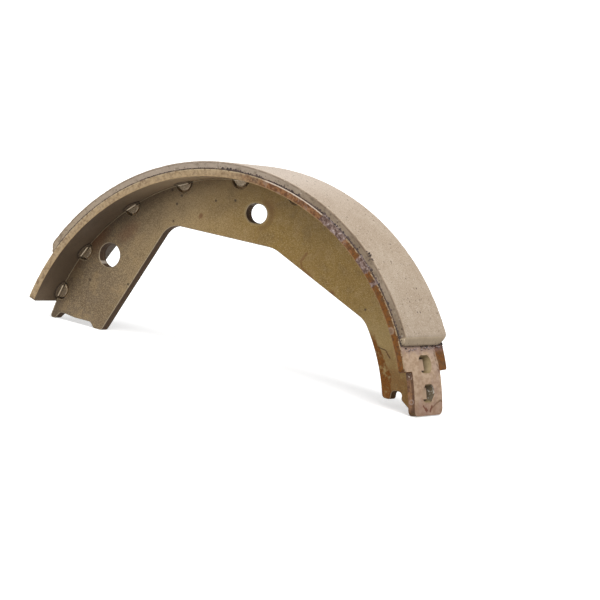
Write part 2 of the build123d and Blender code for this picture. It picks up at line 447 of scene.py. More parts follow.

    # Cut edges: dark with painted shade, a paler line along the middle, and painted highlights in
    # the holes
    wall = depth.fade(WEB_HALF - EDGE_BREAK, WEB_HALF - EDGE_BREAK * 0.8)
    line = abs(y - 0.8 * MM + blotch.sway(2 * MM)).fade(0.2 * MM, 0.7 * MM)
    shaded_wall_tone = paint.mix(line * 0.5, srgb(86, 64, 46), srgb(122, 98, 72))
    base = base.coat(wall * (1 - rust * 0.6) * 0.95, shaded_wall_tone)
    wall_highlights = [
        paint.mark(ROUND_HOLE[0] + 1.0 * MM, ROUND_HOLE[1] + 6.0 * MM, 1.5 * MM, soft=0.6),
        paint.mark(ROUND_HOLE[0] - 4.2 * MM, ROUND_HOLE[1] - 4.4 * MM, 1.1 * MM, soft=0.6),
        paint.mark(OVAL_HOLE[0] - 3.4 * MM, OVAL_HOLE[1] + 4.2 * MM, 1.9 * MM, soft=0.6),
    ]
    base = base.coat(paint.most(*wall_highlights) * wall * 0.85, 206, 192, 176)

    # A pale line where the web meets the table, and pale edges, worn and with painted highlights
    meeting = radius + blotch.sway(0.6 * MM)
    joint = meeting.between(TABLE_INNER - 0.65 * MM, TABLE_INNER, soft=0.12 * MM)
    base = base.coat(joint * angle.ease(84.0, 92.0) * (1 - wall) * 0.55, 204, 186, 154)
    edge = depth.between(WEB_HALF - EDGE_BREAK * 0.9, WEB_HALF - EDGE_BREAK * 0.1, 0.02 * MM)
    base = base.coat(edge * 0.55, 196, 180, 152)

    # Nubs: shiny, with painted highlights; grooves paler with painted light; tooth ends match the
    # table's outer face
    away = paint.from_slot()
    nub = away.fade(NUB_RADIUS, NUB_RADIUS + 0.05 * MM)
    groove_fill_light = away.fade(SCALLOP_RADIUS + 0.05 * MM, SCALLOP_RADIUS + 0.15 * MM)
    groove_fill_light = groove_fill_light * depth.fade(WEB_HALF - 0.50 * MM, WEB_HALF - 0.35 * MM)
    base = base.coat(nub, fine.tones(0.4, 0.6, srgb(118, 100, 80), srgb(178, 162, 138)))
    base = base.coat(groove_fill_light * 0.8, 170, 144, 110)
    tooth_end = radius.ease(TABLE_INNER + 0.2 * MM, TABLE_INNER + 0.6 * MM)
    base = base.coat(tooth_end, 178, 152, 128)

    rough = 0.52 + rust * 0.35 + fine.sway(0.2) - nub * 0.14 + wall * 0.32
    relief = fine * 0.40 + blotch * 0.25 + rust * 0.35 * paint.grain(900.0, 4.0, 0.7)
    normal = paint.bump(relief, 0.16 * MM, 0.55)
    metal = (1 - paint.most(rust, tooth_end, wall)) * 0.25 + nub * (1 - tooth_end) * 0.3
    return paint.finish(base, rough, normal, 0.4, Metallic=metal)


def rusted_table(look):
    """Tan steel that turns rusty to the right, with a dark inner face and a beige tab."""
    paint = Paint("rusted_table")
    y, z = paint.axes[1:]
    radius, angle = paint.polar()
    fine = paint.grain(2200.0, 2.0, 0.7)
    cloud = paint.grain(45.0, 4.0, 0.6)
    blotch = paint.grain(240.0, 5.0, 0.65)
    pits = paint.grain(700.0, 4.0, 0.7, shift=(0.1, 0.5, 0.3))
    front = y.fade(-1.0 * MM, 1.0 * MM)

    side = abs(y).ease(TABLE_HALF - 0.15 * MM, TABLE_HALF - 0.03 * MM)
    outside = radius.ease(TABLE_OUTER - 0.14 * MM, TABLE_OUTER - 0.05 * MM)
    inside = radius.fade(TABLE_INNER + 0.2 * MM, TABLE_INNER + 0.8 * MM)

    # Sides: tan at the left, brown over the crown, orange rust down to the tab
    tan = pits.tones(0.38, 0.62, srgb(146, 122, 94), srgb(184, 160, 126))
    tan = tan.coat(blotch.ease(0.40, 0.60) * 0.3, 188, 160, 118)
    tan = tan.coat(pits.fade(0.34, 0.42) * 0.5, 110, 84, 58)
    umber = pits.tones(0.42, 0.58, srgb(100, 62, 32), srgb(146, 102, 64))
    umber = umber.coat(blotch.ease(0.54, 0.62) * 0.5, 160, 134, 116)
    umber = umber.coat(blotch.fade(0.38, 0.46) * 0.5, 76, 54, 40)
    rust = pits.tones(0.36, 0.60, srgb(86, 50, 10), srgb(124, 74, 16))
    rust = rust.coat(blotch.fade(0.36, 0.50) * 0.6, 98, 74, 44)
    edge = paint.mix((angle + cloud.sway(30)).fade(80.0, 96.0), tan, umber)
    edge = edge.coat((angle + blotch.sway(14)).fade(50.0, 58.0), rust)

    # Pale lines along both corners of the sides, worn and partly painted highlights, brightest
    # past the crown
    wander = blotch.sway(0.7 * MM)
    outer_line = (radius + wander).ease(TABLE_OUTER - 0.60 * MM, TABLE_OUTER - 0.40 * MM)
    inner_line = (radius + wander).fade(TABLE_INNER + 0.25 * MM, TABLE_INNER + 0.50 * MM)
    bright = angle.between(64.5, 83.0, 1.0)
    dashes = paint.most(pits.ease(0.42, 0.50) * 0.6, bright * 0.95)
    worn_and_highlight_tone = paint.mix(bright, srgb(196, 178, 146), srgb(226, 208, 190))
    edge = edge.coat(outer_line * dashes, worn_and_highlight_tone)
    edge = edge.coat(inner_line * 0.45, 176, 148, 106)

    # Inner face: dark and dusty, with painted light over the crown, painted shade round the pads
    # and paler lips
    inner = cloud.tones(0.35, 0.70, srgb(112, 95, 76), srgb(140, 120, 98))
    inner = inner.coat(fine.fade(0.30, 0.50) * 0.4, 62, 50, 38)
    inner = inner.coat(angle.ease(95.0, 125.0) * 0.45, 98, 82, 66)
    # Painted light over the crown
    crown = angle.between(78.0, 122.0, 12.0)
    inner = inner.coat(crown * 0.7, 206, 180, 146)
    inner = inner.coat(angle.fade(30.0, 50.0) * 0.6, rust)
    # Painted shade round the foot of each pad
    away = paint.from_slot()
    past = paint.most(abs(y) - (PAD_HALF_LENGTH - PAD_HALF_WIDTH), 0.0)
    from_pad = paint.length(past, away)
    inner = inner.coat(from_pad.fade(PAD_HALF_WIDTH, PAD_HALF_WIDTH * 1.4) * 0.6, 46, 37, 30)
    pad = radius.fade(TABLE_INNER - PAD_HEIGHT * 0.9, TABLE_INNER - PAD_HEIGHT * 0.7)
    inner = inner.coat(pad * 0.8, paint.mix(pits, srgb(96, 80, 64), srgb(150, 132, 110)))
    # Paler lips by the slots, partly painted highlights
    lip = radius.fade(TABLE_INNER - PAD_HEIGHT - 0.30 * MM, TABLE_INNER - PAD_HEIGHT - 0.15 * MM)
    inner = inner.coat(lip * 0.85, 196, 180, 156)

    # Outer face where it is bare: pinkish beige with mauve and a rusty back corner
    even = paint.grain(520.0, 4.0, 0.6, stretch=(1.0, 0.5, 1.0))
    face = even.tones(0.38, 0.62, look.tab_dark, look.tab_light)
    mauve = paint.grain(95.0, 4.0, 0.6, shift=(0.7, 0.3, 0.1)).ease(0.50, 0.62)
    face = face.coat(mauve * 0.3, 160, 134, 130)
    slanted = y + blotch.sway(3 * MM) - (24.0 - angle) * (0.3 * MM)
    right_end = angle.between(20.4, 60.0, 0.4)
    back_corner = slanted.ease(11.8 * MM, 12.8 * MM) * right_end
    face = face.coat(back_corner, rust)
    rust_edge = slanted.between(10.6 * MM, 12.0 * MM, 0.3 * MM) * right_end
    face = face.coat(rust_edge * pits.ease(0.46, 0.54) * 0.6, 88, 62, 40)
    face = face.coat(pits.ease(0.62, 0.72) * 0.5, 112, 78, 60)
    under_lining = (angle + blotch.sway(4)).between(25.3, 27.5, 0.5)
    face = face.coat(under_lining * 0.35, 140, 116, 118)

    # Two short rusty strokes that form a V near the end of the tab, and a thin arc beside them
    height = z + blotch.sway(0.8 * MM)
    low_tab = angle.fade(18.0, 19.0)
    broken = pits.ease(0.34, 0.46)
    short_ends = ((-5.5, 4.9), (-1.6, 2.6)), ((-3.4, 3.7), (-1.6, 2.6)), ((3.0, 4.6), (1.4, 2.7))
    half_widths = (0.5 * MM, 0.85 * MM, 0.75 * MM)
    short = [paint.strokes(y, height, ends, half) for ends, half in zip(short_ends, half_widths)]
    arc_ends = ((1.8, 2.9), (2.7, 3.8), (8.5, 6.0), (12.0, 7.0), (13.4, 6.5))
    thin = paint.strokes(y, height, arc_ends, 0.48 * MM)
    face = face.coat(thin * low_tab * 0.7, 98, 74, 38)
    face = face.coat(paint.most(*short) * low_tab * broken, 98, 52, 28)
    brown = (angle + cloud.sway(4)).fade(11.5, 15.0) * 0.28 + angle.fade(18.0, 20.0) * 0.10
    face = face.coat(brown, 118, 66, 44)
    tip = (angle + blotch.sway(1.2)).fade(10.3, 10.9)
    face = face.coat(tip * 0.55, 112, 84, 62)

    # Walls of the slots: greyish olive with painted shade deeper in; the lower slot has a painted
    # shadow at the back and painted highlights
    outwards = radius.ease(TABLE_INNER + 0.4 * MM, TABLE_OUTER - 0.6 * MM)
    slot_wall = paint.mix(outwards, srgb(100, 83, 54), srgb(146, 128, 94))
    lower = angle.fade(17.5, 18.5)
    slot_wall = slot_wall.coat(lower * y.ease(2.6 * MM, 4.0 * MM) * 0.7, 52, 44, 36)
    slot_wall = slot_wall.coat(lower * blotch.ease(0.56, 0.62) * 0.7, 206, 198, 188)
    wall = paint.mix(abs(y).fade(11.0 * MM, 11.5 * MM), edge, slot_wall)
    base = paint.mix(outside, paint.mix(inside, wall, inner), face)
    base = base.coat(side, edge)

    # Residue of adhesive wiped over the front side, and a dark drop with a paler outline
    arcs = [(angle + blotch.sway(2.5)).between(low, high, 0.3) for low, high in RESIDUE_ARCS]
    wiped = (radius + blotch.sway(3.0 * MM)).ease(TABLE_INNER - 0.2 * MM, TABLE_INNER + 0.6 * MM)
    residue = paint.most(*arcs) * wiped * side * front
    residue_tone = pits.tones(0.40, 0.56, srgb(84, 62, 54), srgb(144, 122, 114))
    residue_tone = residue_tone.coat(pits.ease(0.58, 0.63) * 0.7, 206, 192, 190)
    base = base.coat(residue * 0.92, residue_tone)
    drop_place = (TABLE_INNER + 0.9 * MM, 31.1)
    drop_ring = paint.polar_mark(*drop_place, 1.9 * MM, soft=0.3, ragged=0.2)
    drop = paint.polar_mark(*drop_place, 1.2 * MM, soft=0.4, ragged=0.3)
    base = base.coat(drop_ring * side * front * 0.7, 160, 138, 116)
    base = base.coat(drop * side * front * 0.7, 120, 92, 68)

    # The sides of the tab are dark brown, with a pale ring and a dark wet patch at the step, with
    # painted highlights
    tab_side = angle.fade(20.6, 20.9) * abs(y).ease(13.4 * MM, 13.7 * MM) * (1 - outside)
    tab_brown = blotch.tones(0.36, 0.60, srgb(84, 54, 36), srgb(142, 106, 76))
    tab_brown = tab_brown.coat(pits.ease(0.54, 0.64) * 0.6, 168, 116, 62)
    corner_line = (radius + wander).ease(TABLE_OUTER - 1.5 * MM, TABLE_OUTER - 1.2 * MM)
    tab_brown = tab_brown.coat(corner_line * 0.7, 74, 48, 30)
    ring_out, ring_in = (
        paint.polar_mark(TABLE_INNER + 1.7 * MM, 13.8, size, soft=0.3, ragged=0.2)
        for size in (1.3 * MM, 0.8 * MM)
    )
    tab_brown = tab_brown.coat((ring_out - ring_in) * 0.5, 176, 156, 148)
    wet = paint.polar_mark(TABLE_INNER + 1.4 * MM, 19.9, 1.9 * MM, soft=0.8, ragged=0.8)
    tab_brown = tab_brown.coat(wet * 0.6, 74, 44, 28)
    # Painted highlights on the wet patch
    tab_brown = tab_brown.coat(wet * pits.ease(0.56, 0.62), 226, 206, 188)
    base = base.coat(tab_side, tab_brown)

    speck = paint.specks(420.0, 0.12, 0.22)
    base = base.coat(speck * 0.55, 56, 36, 26)
    shine = paint.most(lip * 0.30, wet * tab_side * 0.42)
    rough = 0.62 + pits.sway(0.3) - shine
    relief = pits * 0.6 + fine * 0.3 + blotch * 0.4 + residue * pits * 1.2 + drop * side * 1.5
    normal = paint.bump(relief, 0.22 * MM, 0.7)
    metal = lip * 0.4 + 0.08
    return paint.finish(base, rough, normal, 0.35, Metallic=metal)


def ground_lining(look):
    """Friction material: pale and ground outside, browner at its sides, with fine dark specks."""
    paint = Paint("ground_lining")
    y = paint.axes[1]
    radius, angle = paint.polar()
    fine = paint.grain(2000.0, 2.0, 0.7)
    cloud = paint.grain(60.0, 4.0, 0.6)
    patch = paint.grain(330.0, 4.0, 0.65, shift=(0.2, 0.2, 0.6))

    face = cloud.tones(0.35, 0.68, look.face_warm, look.face_pale)
    # Painted light: paler towards the crown and palest over it; darker and browner towards the
    # right end
    face = face.coat(angle.ease(50.0, 80.0) * 0.5, 208, 192, 178)
    face = face.coat(angle.between(76.0, 100.0, 10.0) * 0.5, 224, 212, 200)
    face = face.coat(angle.fade(62.0, 80.0) * 0.16, 140, 124, 106)
    face = face.coat(patch.ease(0.50, 0.66) * 0.15, 214, 200, 184)
    face = face.coat(fine.ease(0.50, 0.64) * 0.35, 220, 206, 190)
    face = face.coat(fine.fade(0.36, 0.50) * 0.45, 140, 121, 100)
    side_tone = cloud.tones(0.35, 0.65, srgb(140, 122, 102), srgb(164, 146, 126))
    side_tone = side_tone.coat(angle.ease(60.0, 95.0) * 0.75, 184, 168, 152)
    side_tone = side_tone.coat(angle.ease(110.0, 150.0) * 0.6, 178, 158, 130)
    mottle = (angle + cloud.sway(20)).ease(138.0, 149.0) * patch.fade(0.42, 0.54)
    side_tone = side_tone.coat(mottle * 0.6, 96, 78, 62)
    side_tone = side_tone.coat(patch.fade(0.34, 0.48) * 0.5, 104, 90, 74)
    sidewards = abs(y).ease(LINING_HALF - 0.60 * MM, LINING_HALF - 0.25 * MM)
    base = paint.mix(sidewards, face, side_tone)

    # The bevelled right end is yellower
    end = angle.fade(28.4, 28.7) * radius.ease(BOND_RADIUS, BOND_RADIUS + 0.2 * MM)
    base = base.coat(end * 0.75, paint.mix(patch, srgb(178, 156, 128), srgb(224, 204, 174)))

    speck = paint.specks(560.0, 0.30, 0.30)
    dust = paint.specks(1500.0, 0.30, 0.30, shift=(0.3, 0.1, 0.2))
    blob = paint.specks(280.0, 0.21, 0.34, shift=(0.1, 0.3, 0.5))
    pale_dot = paint.specks(700.0, 0.27, 0.12, shift=(0.5, 0.5, 0.2))
    dark = paint.most(speck * 0.5, dust * 0.30, blob * 0.75)
    base = base.coat(pale_dot * 0.5, 240, 230, 216)
    base = base.coat(dark, 74, 60, 50)
    top_edge = radius.between(DRUM_RADIUS - 1.0 * MM, DRUM_RADIUS - 0.35 * MM, 0.15 * MM)
    base = base.coat(top_edge * sidewards * patch.ease(0.40, 0.52) * 0.5, 92, 74, 58)
    foot = (radius + patch.sway(1.2 * MM)).fade(BOND_RADIUS + 0.1 * MM, BOND_RADIUS + 0.6 * MM)
    base = base.coat(foot * patch.ease(0.42, 0.54) * 0.6, 70, 56, 48)

    rough = 0.88 + fine.sway(0.15)
    relief = fine * 0.5 + patch * 0.35 - dark * 0.5 + sidewards * patch * 0.7
    normal = paint.bump(relief, 0.14 * MM, 0.6)
    return paint.finish(base, rough, normal, 0.2)


def dried_adhesive(look):
    """Dark brittle adhesive with greyer grains."""
    paint = Paint("dried_adhesive")
    fine = paint.grain(1700.0, 3.0, 0.7)
    lump = paint.grain(420.0, 4.0, 0.6)
    base = lump.tones(0.35, 0.65, look.grain_dark, look.grain_light)
    base = base.coat(fine.ease(0.62, 0.74) * 0.5, 128, 110, 104)
    rough = 0.60 + fine.sway(0.3)
    return paint.finish(base, rough, paint.bump(fine, 0.1 * MM, 0.6), 0.4)


def mauve_residue(look):
    """Greyish mauve residue of cleaned off adhesive."""
    paint = Paint("mauve_residue")
    fine = paint.grain(1500.0, 3.0, 0.7)
    lump = paint.grain(520.0, 4.0, 0.65)
    base = lump.tones(0.35, 0.62, srgb(92, 72, 68), look.residue)
    base = base.coat(fine.ease(0.60, 0.75) * 0.5, 206, 196, 196)
    return paint.finish(base, 0.55 + fine.sway(0.3), paint.bump(lump, 0.2 * MM, 0.6), 0.4)


def pale_floor(look):
    """Plain pale floor."""
    paint = Paint("pale_floor")
    normal = paint.bump(paint.grain(50.0), 0.1 * MM, 0.05)
    glow = {"Emission Color": WHITE, "Emission Strength": look.floor_glow}
    return paint.finish((*look.floor, 1.0), 0.9, normal, 0.1, **glow)


# ---------------- shapes


def link(name, data):
    """Link a new object that holds data."""
    made = bpy.data.objects.new(name, data)
    bpy.context.scene.collection.objects.link(made)
    return made


def new_piece(name, mesh, material):
    """Link a finished mesh as a piece that rides on the shoe."""
    piece = link(name, mesh)
    mesh.materials.clear()
    mesh.materials.append(material)
    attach(piece, "root")
    return piece


def dress(node, material):
    """Give a CAD node its finish."""
    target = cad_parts[node]
    for held in target.material_slots:
        held.material = material
    if not target.material_slots:
        target.data.materials.append(material)


def add_loft(shape, outlines):
    """Add a closed solid through outlines that have the same number of points."""
    rings = [[shape.verts.new(point) for point in outline] for outline in outlines]
    count = len(rings[0])
    for first, second in zip(rings, rings[1:]):
        for here in range(count):
            after = (here + 1) % count
            shape.faces.new((first[here], first[after], second[after], second[here]))
    shape.faces.new(list(reversed(rings[0])))
    shape.faces.new(rings[-1])


def finished_mesh(shape, name, smooth=False):
    """Turn a closed shape into a mesh whose faces point outwards."""
    bmesh.ops.triangulate(shape, faces=[face for face in shape.faces if len(face.verts) > 4])
    bmesh.ops.recalc_face_normals(shape, faces=shape.faces)
    mesh = bpy.data.meshes.new(name)
    shape.to_mesh(mesh)
    shape.free()
    mesh.polygons.foreach_set("use_smooth", [smooth] * len(mesh.polygons))
    return mesh


def section_points(half_width, thickness, corner, columns, rows):
    """The lining's cross-section, as (y, height) pairs, round from the front of its foot."""
    broken = corner * 0.30
    flat = half_width - corner
    shares = [step / columns for step in range(columns + 1)]
    heights = [(thickness - corner) * step / rows for step in range(1, rows + 1)]
    points = [(-half_width + 2 * half_width * share, 0.0) for share in shares]
    points += [(half_width, height) for height in heights]
    points.append((half_width - broken, thickness - broken))
    points += [(flat - 2 * flat * share, thickness) for share in shares]
    points.append((broken - half_width, thickness - broken))
    points += [(-half_width, height) for height in reversed(heights)]
    return points


def lining_mesh(settings):
    """Sweep the lining's section round the drum, bevel its ends and wear its edges inwards."""
    thickness = DRUM_RADIUS - BOND_RADIUS
    section = section_points(LINING_HALF, thickness, settings.corner, columns=56, rows=7)
    sweep = LINING_LEFT_ANGLE - LINING_RIGHT_ANGLE
    arc_length = math.radians(sweep) * DRUM_RADIUS
    gathering = 0.10 / (2 * math.pi)
    ridge_drop, ridge_reach = 0.07, 0.35
    outlines = []
    for index in range(settings.stations + 1):
        # Stations gather towards the two ends, where the bevels are
        share = index / settings.stations
        share -= gathering * math.sin(2 * math.pi * share)
        angle = LINING_RIGHT_ANGLE + sweep * share
        from_end = min(share, 1 - share) * arc_length
        climb = from_end / settings.bevel_run
        softened = ridge_drop * max(0.0, 1.0 - abs(climb - 1.0) / ridge_reach) ** 2
        rise = settings.land + (thickness - settings.land) * (min(1.0, climb) - softened)
        outline = []
        for y, height in section:
            level = min(height, rise)
            along, inset = 0.0, 0.0
            if share < 0.5:
                reach = settings.back_corner if y > 0 else settings.front_corner
                along, inset = rounded_corner(from_end, LINING_HALF - abs(y), reach)
            turned = angle + math.degrees(along / DRUM_RADIUS)
            point = polar_point(BOND_RADIUS + level, turned, y - math.copysign(inset, y))
            outline.append(worn(point, y, level, rise, from_end, settings))
        outlines.append(outline)
    shape = bmesh.new()
    add_loft(shape, outlines)
    return finished_mesh(shape, "lining_shape", smooth=True)


def rounded_corner(from_end, from_side, reach):
    """How far a point near a corner moves along and across the strip to lie inside its curve."""
    back = reach - from_end
    over = reach - from_side
    distance = math.hypot(back, over)
    if back <= 0 or over <= 0 or distance <= reach:
        return 0.0, 0.0
    kept = 1 - reach / distance
    return back * kept, over * kept


def worn(point, y, level, rise, from_end, settings):
    """Move a point of the lining inwards where its edges are worn, chipped or pitted."""
    if level <= 0:
        return point
    to_side = LINING_HALF - abs(y)
    near_edge = max(0.0, 1.0 - max(to_side, rise - level) / WORN_EDGE)
    near_end = max(0.0, 1.0 - from_end / WORN_END)
    chips = sum(noise.noise(point * waves) * weight for waves, weight in CHIP_WAVES)
    drop = near_edge * (EVEN_WEAR + CHIPPED_WEAR * max(0.0, chips - 0.05))
    drop += END_WEAR * near_end * max(0.0, chips)
    drop *= settings.wear
    outwards = Vector((point.x - AXIS_X, 0.0, point.z - AXIS_Z)).normalized()
    moved = point - outwards * min(drop, level * 0.7)
    if to_side < WORN_EDGE:
        moved.y -= math.copysign(drop * 0.7, y)
    if to_side < 0.2 * MM:
        pits = max(0.0, noise.noise(point * PIT_WAVES + polar_point(BOND_RADIUS, 90.0)))
        moved.y -= math.copysign(pits * settings.side_pits, y)
    return moved


def slot_outline(degrees_up, corners, depth):
    """Points of a slot of the table, from their places across and along it, at a depth."""
    return [
        polar_point(TABLE_OUTER - depth, degrees_up + math.degrees(along / TABLE_OUTER), across)
        for across, along in corners
    ]


def shade_plates_mesh():
    """Thin dark plates of painted shade that close the gaps round the teeth."""
    shape = bmesh.new()
    half_across, half_along = (half + 0.1 * MM for half in THROAT_HALF)
    signs = ((-1, -1), (1, -1), (1, 1), (-1, 1))
    corners = [(across * half_across, along * half_along) for across, along in signs]
    for degrees_up in SLOT_ANGLES:
        depths = (TABLE_THICKNESS - 0.5 * MM, TABLE_THICKNESS - 0.1 * MM)
        add_loft(shape, [slot_outline(degrees_up, corners, depth) for depth in depths])
    return finished_mesh(shape, "slot_shade_plates")


def corner_outline(settings, share):
    """Outline that fills a corner of a flared slot, at a share of the way to its throat."""
    hidden = 0.1 * MM
    half_across, half_along = (
        mouth + (throat - mouth) * share for mouth, throat in zip(MOUTH_HALF, THROAT_HALF)
    )
    radius = settings.mouth_corner + (settings.throat_corner - settings.mouth_corner) * share
    outline = [
        (half_across + hidden, half_along - radius),
        (half_across + hidden, half_along + hidden),
        (half_across - radius, half_along + hidden),
    ]
    for step in range(settings.corner_steps + 1):
        turn = math.radians(90 * (1 - step / settings.corner_steps))
        across = half_across - radius + radius * math.cos(turn)
        outline.append((across, half_along - radius + radius * math.sin(turn)))
    return outline


def slot_corners_mesh(settings):
    """Fill the corners of the open slots, so that their flares are round."""
    shape = bmesh.new()
    for degrees_up in OPEN_SLOT_ANGLES:
        for across_sign, along_sign in ((1, 1), (-1, 1), (-1, -1), (1, -1)):
            outlines = []
            for share in (0.0, 0.5, 1.0):
                outline = corner_outline(settings, share)
                corners = [(across * across_sign, along * along_sign) for across, along in outline]
                depth = 0.02 * MM + (TABLE_THICKNESS - 0.1 * MM) * share
                outlines.append(slot_outline(degrees_up, corners, depth))
            add_loft(shape, outlines)
    return finished_mesh(shape, "slot_corners")


# ---------------- grains


class GrainTree(Nodes):
    """Geometry Nodes that lay loose grains along an arc about the drum's axis."""

    FLOATS = ("Radius", "Start Angle", "Sweep Angle", "Side", "Side Run", "Grain Size", "Flatness")
    FLOATS += ("Scatter", "Bareness")
    ARC_STEPS = 400
    PATCH_WAVES = 190.0
    FULL_TURN = 6.28
    INPUTS = {"Float": FLOATS, "Int": ("Count", "Seed"), "Material": ("Material",)}

    def __init__(self, name):
        super().__init__(bpy.data.node_groups.new(name, "GeometryNodeTree"))
        interface = self.tree.interface
        interface.new_socket("Geometry", in_out="OUTPUT", socket_type="NodeSocketGeometry")
        self.identifiers = {}
        for kind, labels in self.INPUTS.items():
            for label in labels:
                made = interface.new_socket(label, in_out="INPUT", socket_type=f"NodeSocket{kind}")
                self.identifiers[label] = made.identifier
        outputs = self.tree.nodes.new("NodeGroupInput").outputs
        self.given = {label: Wire(self, outputs[label]) for label in self.identifiers}
        self.end("NodeGroupOutput", "Geometry", self.grains(self.points()))

    def take(self, *labels):
        """Sockets that are linked to the tree's inputs of the same name."""
        return {label: self.given[label] for label in labels}

    def vector(self, **parts):
        """A vector from its parts."""
        return self.add("ShaderNodeCombineXYZ", sockets=parts)

    def points(self):
        """Points along the arc, thinned out in patches and shaken off their places."""
        span = self.take("Radius", "Start Angle", "Sweep Angle")
        sockets = {"Resolution": self.ARC_STEPS, **span}
        arc = self.add("GeometryNodeCurveArc", {"mode": "RADIUS"}, sockets)
        place = self.vector(X=AXIS_X, Y=self.given["Side"], Z=AXIS_Z)
        sockets = {"Geometry": arc, "Translation": place, "Rotation": (math.pi / 2, 0.0, 0.0)}
        stood = self.add("GeometryNodeTransform", sockets=sockets)

        # A run along the drum's axis spreads the points over the width instead
        run = self.add("GeometryNodeSplineParameter") * self.given["Side Run"]
        sockets = {"Geometry": stood, "Offset": self.vector(Y=run)}
        spread = self.add("GeometryNodeSetPosition", sockets=sockets)
        sockets = {"Curve": spread, **self.take("Count")}
        points = self.add("GeometryNodeCurveToPoints", {"mode": "COUNT"}, sockets)

        thin = self.add("ShaderNodeTexNoise", sockets={"Scale": self.PATCH_WAVES, "Detail": 3.0})
        settings = {"data_type": "FLOAT", "operation": "LESS_THAN"}
        gone = self.add("FunctionNodeCompare", settings, {"A": thin, "B": self.given["Bareness"]})
        sockets = {"Geometry": points, "Selection": gone}
        kept = self.add("GeometryNodeDeleteGeometry", {"domain": "POINT"}, sockets)
        shake = self.random((-1.0, -0.25, -1.0), (1.0, 0.25, 1.0))
        sockets = {"Vector": shake, "Scale": self.given["Scatter"]}
        offset = self.add("ShaderNodeVectorMath", {"operation": "SCALE"}, sockets)
        return self.add("GeometryNodeSetPosition", sockets={"Geometry": kept, "Offset": offset})

    def random(self, low, high):
        """A random vector for each point."""
        sockets = {"Min": low, "Max": high, **self.take("Seed")}
        return self.add("FunctionNodeRandomValue", {"data_type": "FLOAT_VECTOR"}, sockets)

    def grains(self, points):
        """A grain of its own size and turn on each point, as real faces with their material."""
        sockets = {"Radius": self.given["Grain Size"], "Subdivisions": 2}
        grain = self.add("GeometryNodeMeshIcoSphere", sockets=sockets)
        squash = self.vector(X=1.0, Y=self.given["Flatness"], Z=1.0)
        sockets = {0: self.random((0.4, 0.7, 0.4), (1.0, 0.9, 1.0)), 1: squash}
        size = self.add("ShaderNodeVectorMath", {"operation": "MULTIPLY"}, sockets)
        turn = self.random((0.0, 0.0, 0.0), (0.0, self.FULL_TURN, 0.0))
        sockets = {"Points": points, "Instance": grain, "Rotation": turn, "Scale": size}
        spread = self.add("GeometryNodeInstanceOnPoints", sockets=sockets)
        real = self.add("GeometryNodeRealizeInstances", sockets={"Geometry": spread})
        sockets = {"Geometry": real, **self.take("Material")}
        return self.add("GeometryNodeSetMaterial", sockets=sockets)

    def bake(self, name, values):
        """Run the tree on an empty mesh and return the result as a plain mesh."""
        holder = link(name, bpy.data.meshes.new(name))
        modifier = holder.modifiers.new("grains", "NODES")
        modifier.node_group = self.tree
        for label, value in values.items():
            modifier[self.identifiers[label]] = value
        depsgraph = bpy.context.evaluated_depsgraph_get()
        mesh = bpy.data.meshes.new_from_object(holder.evaluated_get(depsgraph))
        holder.modifiers.remove(modifier)
        bpy.data.objects.remove(holder)
        mesh.name = name
        return mesh


class Strip:
    """A strip of grains along an arc. Its inputs are an even seam's, apart from those in more."""

    def __init__(self, name, material, arc, side, count, seed, size=1.0, **more):
        low, high = arc
        self.name = name
        self.material = material
        self.size = size
        self.values = {
            "Radius": BOND_RADIUS - 0.02 * MM,
            "Start Angle": math.radians(low),
            "Sweep Angle": math.radians(high - low),
            "Side": side,
            "Side Run": 0.0,
            "Count": count,
            "Flatness": 1.0,
            "Scatter": 0.30 * MM,
            "Bareness": 0.40,
            "Seed": seed,
            "Material": material,
        }
        for label, value in more.items():
            self.values[label.replace("_", " ").title()] = value

    def lay(self, tree, grain_size):
        """Bake the strip and link it as a piece."""
        mesh = tree.bake(self.name, {**self.values, "Grain Size": grain_size * self.size})
        new_piece(self.name, mesh, self.material)


def adhesive_strips(dark, mauve):
    """The grains along both seams, the crumbs on the face and the right foot, and the residue."""
    seam = (LINING_RIGHT_ANGLE, LINING_LEFT_ANGLE)
    edge = LINING_HALF - 0.06 * MM
    inside = LINING_HALF - 0.5 * MM
    proud = 0.25 * MM - LINING_HALF
    ledge = -LINING_HALF - 0.05 * MM
    flat = {"radius": BOND_RADIUS + 0.30 * MM, "flatness": 0.35, "bareness": 0.46}
    top = {"radius": DRUM_RADIUS - 0.7 * MM, "scatter": 1.1 * MM, "bareness": 0.1}
    foot = {"radius": TABLE_OUTER + 0.10 * MM, "scatter": 0.5 * MM, "side_run": 1.8 * inside}
    strips = [
        Strip("front_seam_grains", dark, seam, -edge, 1500, 3),
        Strip("back_seam_grains", dark, seam, edge, 1200, 8),
        Strip("front_seam_lumps", dark, (40.0, 96.0), proud, 110, 5, 1.7),
        Strip("front_seam_blobs", dark, (29.0, 96.0), ledge, 90, 44, 2.3, **flat),
        Strip("left_seam_lumps", dark, (138.0, 151.0), proud, 40, 6, 1.7),
        Strip("face_crumbs", dark, (48.0, 50.0), -inside, 30, 11, 1.5, **top),
        Strip("foot_crumbs", dark, (26.4, 26.9), -inside, 110, 14, 1.5, bareness=0.49, **foot),
        Strip("foot_residue", mauve, (25.9, 26.5), -0.8 * inside, 60, 21, 1.1, **foot),
    ]
    for index, (low, high) in enumerate(RESIDUE_ARCS):
        name = f"residue_{index + 1}"
        count = round((high - low) * RESIDUE_PER_DEGREE)
        strips.append(Strip(name, mauve, (low, high), -LINING_HALF, count, 30 + index, 0.9))
    return strips


# ---------------- stage


def add_floor(look):
    """A wide round floor."""
    shape = bmesh.new()
    bmesh.ops.create_circle(shape, cap_ends=True, segments=96, radius=12.0)
    mesh = bpy.data.meshes.new("floor")
    shape.to_mesh(mesh)
    shape.free()
    mesh.materials.append(pale_floor(look))
    floor = link("floor", mesh)
    floor.visible_diffuse = False


